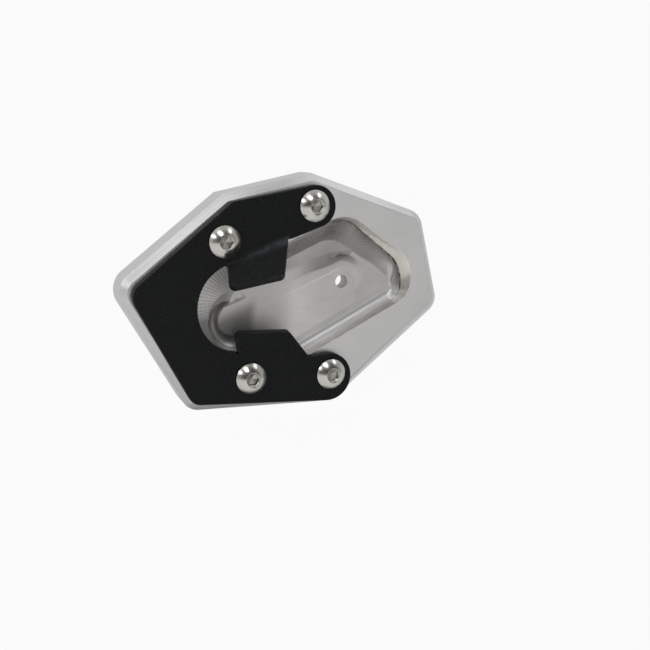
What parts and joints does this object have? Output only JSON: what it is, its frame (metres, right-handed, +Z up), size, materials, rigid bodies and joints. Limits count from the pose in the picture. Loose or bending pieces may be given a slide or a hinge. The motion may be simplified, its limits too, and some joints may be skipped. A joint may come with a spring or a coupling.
{
  "type": "kickstand foot enlarger",
  "caption": "Wide foot for a motorbike's side stand: a milled many-sided plate with a pocket for the stand's foot, held down by a bent black clamp plate on button-head screws.",
  "frame": {"origin": "on the sole, under the middle of the plate", "axes": "+Z up out of the sole, +X along the long side to the open end of the clamp plate, +Y to the side with the steep tab"},
  "size_m": [0.1037, 0.072, 0.0223],
  "materials": {
    "base_plate": "milled, satin",
    "clamp_plate": "satin black coat",
    "button_head_screws": "polished stainless"
  },
  "bodies": {
    "root": {"base_plate": "base_plate", "clamp_plate": "clamp_plate", "button_head_screws": "button_head_screws"}
  },
  "joints": []
}
